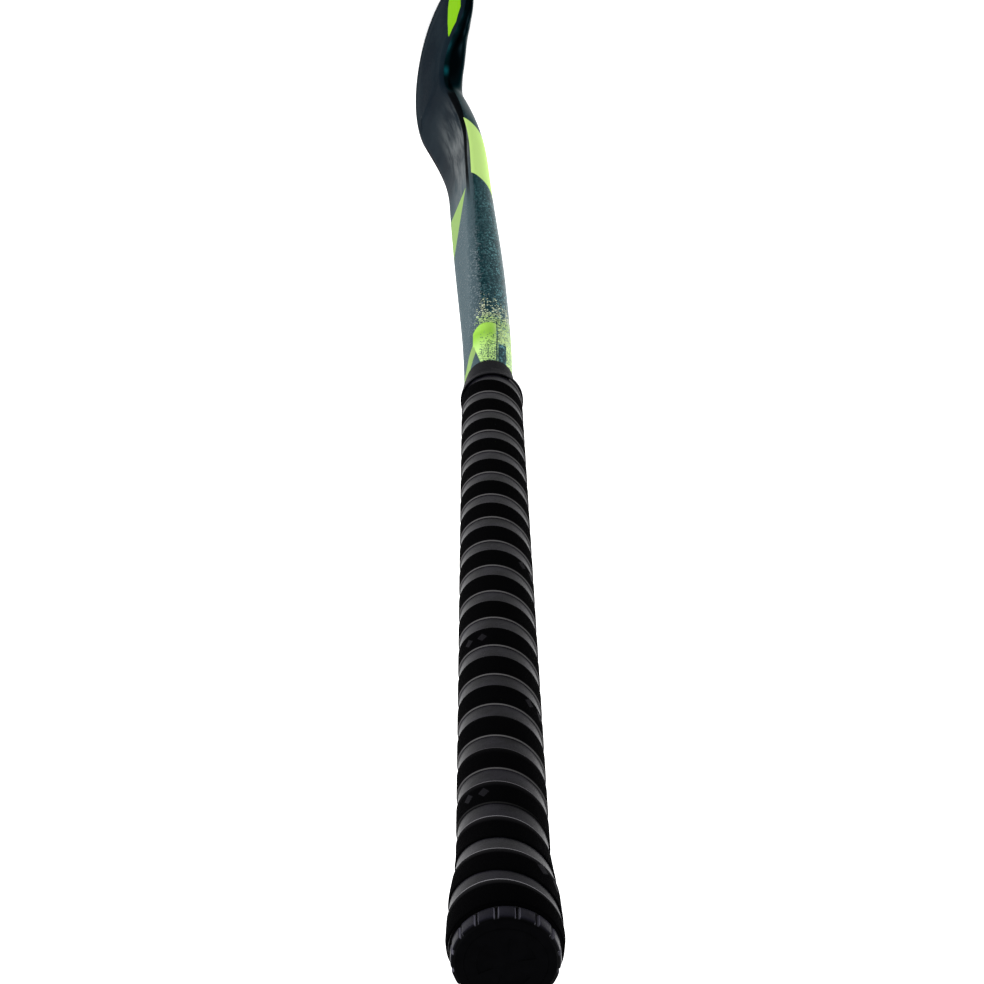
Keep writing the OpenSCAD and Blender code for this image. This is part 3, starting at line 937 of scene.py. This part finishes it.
def padding_paint():
    """Grey polyurethane that shows between the turns: soft sheen and fine grain."""
    p = Paint("padding_grey")
    spot = p.position()
    cloud = p.step(p.noise(p.stretched(spot, 2.0), 0.09, 4), 0.35, 0.68)
    colour = p.blend(cloud, (0.0009, 0.0008, 0.0018, 1), (0.006, 0.0055, 0.0085, 1))
    # painted shade: the first millimetres, beside the cap, are painted black
    height = p.add("SeparateXYZ", {0: spot}).outputs[2]
    colour = p.blend(p.step(height, -9.0, -8.0), colour, (0.0012, 0.0012, 0.0014, 1))
    grain = p.noise(spot, 1.1, 4)
    p.set(Base_Color=colour, Roughness=p.math("MULTIPLY_ADD", grain, 0.16, 0.22))
    p.set(Specular_IOR_Level=0.025)
    p.bump(grain, 0.25, 0.00015)
    return p.material


def strip_paint():
    """Matt black strip: chamois grain, paler cut edges, and pressed lozenges."""
    p = Paint("strip_black")
    turns, rise, pale_high_edge = p.attribute("turns"), p.attribute("rise"), p.attribute("pale_high_edge")
    grain = p.noise(p.position(), 1.7, 4)
    mark = None
    for first_turn, first_rise in MARKS:
        away = p.math("SUBTRACT", turns, first_turn)
        away = p.math("WRAP", away, MARK_PERIOD / 2, -MARK_PERIOD / 2)
        away = p.math("MULTIPLY", away, math.tau * GRIP_R_HIGH)
        pair = p.math("ABSOLUTE", p.math("SUBTRACT", p.math("ABSOLUTE", away), 3.0))
        row = p.math("ABSOLUTE", p.math("SUBTRACT", rise, first_rise))
        lozenges = p.step(p.math("MULTIPLY_ADD", pair, 1.5, row), 3.2, 2.7)
        mark = lozenges if mark is None else p.either(mark, lozenges)
    mark = p.both(mark, p.step(turns, MARKS_END, MARKS_END - 1))
    colour = p.blend(grain, (0.0003, 0.0003, 0.0004, 1), (0.0012, 0.0012, 0.0014, 1))
    colour = p.blend(mark, colour, (0.006, 0.0058, 0.007, 1))
    # paler upper edge on the first turns by the butt
    colour = p.blend(pale_high_edge, colour, (0.2, 0.195, 0.21, 1))
    cut = p.attribute("cut_edge")
    colour = p.blend(cut, colour, (0.08, 0.078, 0.08, 1))
    rough = p.math("MULTIPLY_ADD", p.either(p.either(mark, pale_high_edge), cut), -0.4, 0.9)
    p.set(Base_Color=colour, Roughness=rough, Specular_IOR_Level=0.002)
    p.bump(p.math("SUBTRACT", grain, mark), 0.5, 0.0002)
    return p.material


def rubber_paint(name, dark, light, rough, specular):
    p = Paint(name)
    spot = p.position()
    cloud = p.noise(spot, 0.2, 4)
    speck = p.noise(spot, 2.0, 3)
    p.set(Base_Color=p.blend(cloud, dark, light), Specular_IOR_Level=specular)
    p.set(Roughness=p.math("MULTIPLY_ADD", speck, 0.16, rough))
    p.bump(speck, 0.3, 0.00015)
    return p.material


def cap_rim_paint():
    """Black rubber whose raised blocks have dark faces and pale violet edges, a painted highlight.
    """
    p = Paint("cap_rim")
    spot = p.position()
    block = p.attribute("block")
    cloud = p.noise(spot, 0.25, 4)
    raised = p.blend(cloud, (0.0015, 0.0014, 0.003, 1), (0.009, 0.0085, 0.0145, 1))
    colour = p.blend(block, (0.0008, 0.0008, 0.001, 1), raised)
    # painted highlight along the block edges
    colour = p.blend(p.attribute("rim_painted_highlight"), colour, (0.11, 0.107, 0.135, 1))
    p.set(Base_Color=colour, Roughness=p.math("MULTIPLY_ADD", block, -0.45, 0.75))
    p.set(Specular_IOR_Level=0.025)
    p.bump(p.noise(spot, 2.0, 3), 0.2, 0.00012)
    return p.material


def weave_paint(name, dark, light, rough):
    """Carbon braid: two sets of tows that cross at an angle round the tube."""
    p = Paint(name)
    spot = p.position()
    parts = p.add("SeparateXYZ", {0: spot})
    turn = p.math("ARCTAN2", parts.outputs[1], parts.outputs[0])
    u = p.math("MULTIPLY", turn, 6.0)
    v = p.math("MULTIPLY", parts.outputs[2], 0.5)
    left = p.math("SINE", p.math("MULTIPLY", p.math("ADD", u, v), 2.2))
    right = p.math("SINE", p.math("MULTIPLY", p.math("SUBTRACT", u, v), 2.2))
    weave = p.step(p.both(left, right), -0.2, 0.2)
    fibres = p.noise(p.vector(p.math("ADD", u, v), p.math("MULTIPLY", v, 9)), 2.0, 2)
    colour = p.blend(p.both(weave, fibres), dark, light)
    p.set(Base_Color=colour, Roughness=p.math("MULTIPLY_ADD", weave, 0.1, rough))
    p.set(Specular_IOR_Level=0.5)
    p.bump(weave, 0.3, 0.0002)
    return p.material


def foam_paint(name, dark, light, size):
    """Foam: closed cells with darker pits."""
    p = Paint(name)
    spot = p.position()
    cell = p.add("TexVoronoi", {"Vector": spot, "Scale": size}, feature="F1").outputs["Distance"]
    cloud = p.noise(spot, 0.08, 3)
    colour = p.blend(p.step(cell, 0.2, 0.7), dark, light)
    colour = p.blend(p.both(cloud, 0.3), colour, (1.0, 0.9, 0.6, 1))
    p.set(Base_Color=colour, Roughness=p.math("MULTIPLY_ADD", cell, 0.1, 0.82))
    p.bump(cell, 0.6, 0.0003)
    return p.material


def tape_paint():
    """Elastic tape: fine crosswise ribs and a satin surface."""
    p = Paint("tape_black")
    spot = p.position()
    parts = p.add("SeparateXYZ", {0: spot})
    ribs = p.math("SINE", p.math("MULTIPLY", parts.outputs[2], 9.0))
    cloud = p.noise(spot, 0.25, 4)
    colour = p.blend(cloud, (0.0035, 0.0035, 0.0045, 1), (0.008, 0.008, 0.010, 1))
    p.set(Base_Color=colour, Roughness=p.math("MULTIPLY_ADD", cloud, 0.15, 0.38))
    p.set(Specular_IOR_Level=0.008)
    p.bump(p.math("ADD", p.math("MULTIPLY", ribs, 0.3), cloud), 0.25, 0.00015)
    return p.material


# ---- assembly ----
def add_piece(obj, node, *materials):
    for material in materials:
        obj.data.materials.append(material)
    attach(obj, "root")
    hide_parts(node)
    return obj


cap_rubber = rubber_paint("cap_face", (0.0007, 0.0007, 0.0009, 1), (0.002, 0.002, 0.0024, 1),
                          0.6, 0.004)
collar_rubber = rubber_paint("collar", (0.006, 0.006, 0.007, 1), (0.012, 0.012, 0.013, 1),
                             0.6, 0.3)
plug_rubber = rubber_paint("plug", (0.13, 0.09, 0.06, 1), (0.2, 0.14, 0.09, 1), 0.55, 0.4)

add_piece(build_stick(), "laminate_shell", lacquer())
add_piece(build_pad(), "touch_pad", pad_paint())
add_piece(build_underlay(), "grip_underlay", padding_paint())
add_piece(build_strip(), "grip_wrap", strip_paint())
add_piece(build_tape(), "finishing_tape", tape_paint())
add_piece(build_cap(), "end_cap", cap_rim_paint(), cap_rubber)

carbon = weave_paint("tube_carbon", (0.012, 0.012, 0.014, 1), (0.05, 0.05, 0.055, 1), 0.32)
light_foam = foam_paint("tube_foam", (0.42, 0.34, 0.19, 1), (0.72, 0.62, 0.4, 1), 0.9)
dense_foam = foam_paint("head_foam", (0.34, 0.25, 0.12, 1), (0.6, 0.48, 0.26, 1), 1.6)
INNER = {
    "tube_heel": carbon, "tube_toe": carbon, "tube_core_heel": light_foam,
    "tube_core_toe": light_foam, "head_core": dense_foam, "handle_plug": plug_rubber,
    "flare_collar": collar_rubber,
}
for name, material in INNER.items():
    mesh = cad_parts[name].data
    mesh.materials.clear()
    mesh.materials.append(material)


# ---- setting ----
def build_floor():
    """Plain pale floor just under the head."""
    size = 20.0
    z = GROUND * MM - 0.0002
    mesh = bpy.data.meshes.new("floor")
    corners = [(-size, -size, z), (size, -size, z), (size, size, z), (-size, size, z)]
    mesh.from_pydata(corners, [], [(0, 1, 2, 3)])
    floor = bpy.data.objects.new("floor", mesh)
    bpy.context.scene.collection.objects.link(floor)
    p = Paint("floor_pale")
    cloud = p.noise(p.position(), 0.002, 2)
    p.set(Base_Color=p.blend(cloud, (0.93, 0.93, 0.93, 1), (0.95, 0.95, 0.95, 1)), Roughness=0.9)
    p.set(Specular_IOR_Level=0.1)
    mesh.materials.append(p.material)


def add_area(name, location, target, size, power):
    data = bpy.data.lights.new(name, "AREA")
    data.shape = "RECTANGLE"
    data.size, data.size_y = size
    data.energy = power
    light = bpy.data.objects.new(name, data)
    light.visible_camera = False
    direction = Vector(target) - Vector(location)
    light.location = location
    light.rotation_euler = direction.to_track_quat("-Z", "Y").to_euler()
    bpy.context.scene.collection.objects.link(light)


def add_camera():
    """The viewing position: above the butt, looking down the handle."""
    position = Vector((-0.484418, -0.183306, 0.704028))
    forward = Vector((0.40980, 0.15417, -0.89905)).normalized()
    right = Vector((-0.33246, 0.94306, 0.01018)).normalized()
    up = right.cross(forward).normalized()
    data = bpy.data.cameras.new("view")
    data.sensor_width = 36
    data.lens = 94.287
    camera = bpy.data.objects.new("view", data)
    camera.matrix_world = Matrix((
        (right.x, up.x, -forward.x, position.x),
        (right.y, up.y, -forward.y, position.y),
        (right.z, up.z, -forward.z, position.z),
        (0, 0, 0, 1)))
    bpy.context.scene.collection.objects.link(camera)
    bpy.context.scene.camera = camera


def set_world():
    world = bpy.data.worlds.new("studio")
    world.use_nodes = True
    background = world.node_tree.nodes["Background"]
    background.inputs["Color"].default_value = (1, 1, 1, 1)
    background.inputs["Strength"].default_value = 1.0
    bpy.context.scene.world = world
    bpy.context.scene.view_settings.view_transform = "Standard"


build_floor()
add_camera()
set_world()
add_area("left_box", (0.5, -1.9, 0.3), (0.1, 0, -0.6), (0.8, 1.6), 32)
add_area("right_box", (0.5, 1.9, 0.3), (0.1, 0, -0.6), (0.8, 1.6), 40)
add_area("left_low", (0.2, -1.1, -0.45), (0.15, -0.5, -0.93), (0.9, 0.5), 6)
add_area("right_low", (0.2, 1.1, -0.45), (0.15, 0.5, -0.93), (0.9, 0.5), 9)
